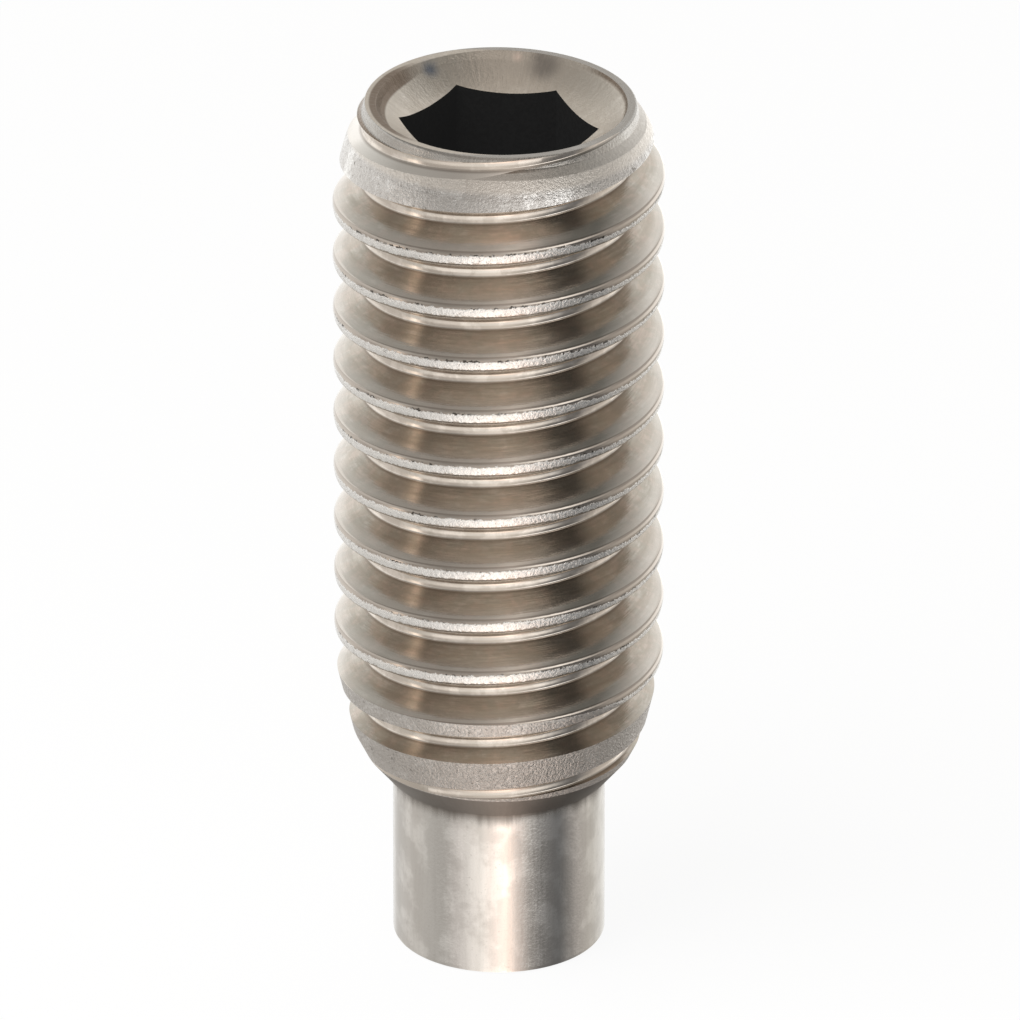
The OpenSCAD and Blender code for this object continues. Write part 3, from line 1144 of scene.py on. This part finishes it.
def ring_of_boards(tree, side, boards):
    """The boards' light by side, which runs from 0 at -180 degrees to 1 at 180."""
    ramp = add_node(tree, "ShaderNodeValToRGB", {"Fac": side})
    stops = ramp.color_ramp.elements
    while len(stops) < len(boards):
        stops.new(1.0)
    for stop, (degrees, light) in zip(stops, boards):
        stop.position = degrees / 360 + 0.5
        stop.color = board_colour(light)
    return ramp.outputs["Color"]


world = bpy.data.worlds.new("studio")
bpy.context.scene.world = world
world.use_nodes = True
tree = world.node_tree
tree.nodes.clear()
way = tree.nodes.new("ShaderNodeTexCoord").outputs["Generated"]
leaning = vector_maths(tree, "ADD", {0: way, 1: LEAN})["Vector"]
parts = split(tree, leaning)
front = maths(tree, "MULTIPLY", parts["Y"], -1.0)
angle = maths(tree, "ARCTAN2", parts["X"], front)
side = maths(tree, "MULTIPLY_ADD", angle, 1 / (2 * math.pi), 0.5)
height = split(tree, way)["Z"]
room = ring_of_boards(tree, side, LOWEST_BOARDS)
for ring_foot, ring_start, boards in RING_STEPS:
    next_ring = ring_of_boards(tree, side, boards)
    room = blend_colours(tree, ramp_up(tree, height, ring_foot, ring_start), room, next_ring)
facing_up = split(tree, vector_maths(tree, "NORMALIZE", {0: leaning})["Vector"])["Z"]
room = blend_colours(tree, ramp_up(tree, facing_up, *BACK_BOARD_EDGE), room, board_colour(BACK_BOARD))
print("rings of boards:", len(RING_STEPS) + 1)

# %% [markdown]
# ## What the camera sees behind the screw
#
# The camera itself sees plain white behind the screw. A Light Path node tells
# its rays from those that the metal reflects.

# %% Sky
rays = tree.nodes.new("ShaderNodeLightPath").outputs
room_light = add_node(tree, "ShaderNodeBackground", {"Color": room, "Strength": BOARD_LIGHT}).outputs[0]
white = add_node(tree, "ShaderNodeBackground", {"Color": (1, 1, 1, 1), "Strength": 1.0}).outputs[0]
both = add_node(tree, "ShaderNodeMixShader", {0: rays["Is Camera Ray"], 1: room_light, 2: white}).outputs[0]
add_node(tree, "ShaderNodeOutputWorld", {"Surface": both})
print("sky: white for the camera, boards for the metal")

# %% [markdown]
# ## The floor
#
# The camera sees a white floor with a soft shadow under the screw. The floor's
# own diffuse white takes the shadow, and a plain white glow, for camera rays
# only, keeps it clean. The metal's reflections pass through the floor to the
# low boards, so that they run right down to the foot of the screw.

# %% Floor
FLOOR_SIZE = 2.0
FLOOR_GLOW = 0.92
FLOOR_PAINT = (0.9, 0.9, 0.9, 1)

bpy.ops.object.select_all(action="DESELECT")
bpy.ops.mesh.primitive_plane_add(size=FLOOR_SIZE, location=(0, 0, 0))
floor = bpy.context.object
floor.name = "floor"
floor.visible_glossy = False
floor_paint = bpy.data.materials.new("floor_paint")
floor_paint.use_nodes = True
tree = floor_paint.node_tree
tree.nodes.clear()
rays = tree.nodes.new("ShaderNodeLightPath").outputs
paint = add_node(tree, "ShaderNodeBsdfDiffuse", {"Color": FLOOR_PAINT}).outputs[0]
glow = add_node(tree, "ShaderNodeEmission", {"Color": (1, 1, 1, 1), "Strength": 1.0}).outputs[0]
seen = maths(tree, "MULTIPLY", rays["Is Camera Ray"], FLOOR_GLOW)
whole = add_node(tree, "ShaderNodeMixShader", {0: seen, 1: paint, 2: glow}).outputs[0]
add_node(tree, "ShaderNodeOutputMaterial", {"Surface": whole})
floor.data.materials.append(floor_paint)
print("floor:", FLOOR_SIZE, "m wide")

# %% [markdown]
# ## The lamp
#
# One large soft box hangs high on the left and gives the floor its shadow. The
# metal doesn't mirror it, because the boards already light the metal.

# %% Lamp
LAMP_PLACE = Vector((-60, -40, 110)) * MM
LAMP_SIZE = 110 * MM
LAMP_POWER = 0.14

bpy.ops.object.light_add(type="AREA", location=LAMP_PLACE)
lamp = bpy.context.object
lamp.name = "soft_box"
lamp.data.shape = "DISK"
lamp.data.size = LAMP_SIZE
lamp.data.energy = LAMP_POWER
lamp.visible_glossy = False
lamp.rotation_euler = (-LAMP_PLACE).to_track_quat("-Z", "Y").to_euler()
print("lamp at", tuple(round(part / MM) for part in LAMP_PLACE), "mm")

# %% [markdown]
# ## The camera
#
# It looks down on the screw from the front. An orthographic camera would keep
# the sides of the screw parallel, and a short lens would spread them. A long
# lens from further off keeps them nearly parallel, as a product camera does.

# %% Camera
CAMERA_ELEVATION = math.radians(25.6)
CAMERA_DISTANCE = 320 * MM
FRAME_WIDTH = 17.74 * MM
NEAREST_SEEN = 10 * MM
AIM = Vector((0.195 * MM, 0, 8.1165 * MM))

bpy.ops.object.camera_add()
camera = bpy.context.object
camera.name = "camera"
camera.data.lens = camera.data.sensor_width * CAMERA_DISTANCE / FRAME_WIDTH
camera.data.clip_start = NEAREST_SEEN
step_back = Vector((0, -math.cos(CAMERA_ELEVATION), math.sin(CAMERA_ELEVATION)))
camera.location = AIM + step_back * CAMERA_DISTANCE
camera.rotation_euler = (math.pi / 2 - CAMERA_ELEVATION, 0, 0)
bpy.context.scene.camera = camera
bpy.context.scene.view_settings.view_transform = "Standard"
print(f"lens {camera.data.lens:.0f} mm")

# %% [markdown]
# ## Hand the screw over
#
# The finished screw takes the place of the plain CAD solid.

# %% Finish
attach(screw, "root")
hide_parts("set_screw")
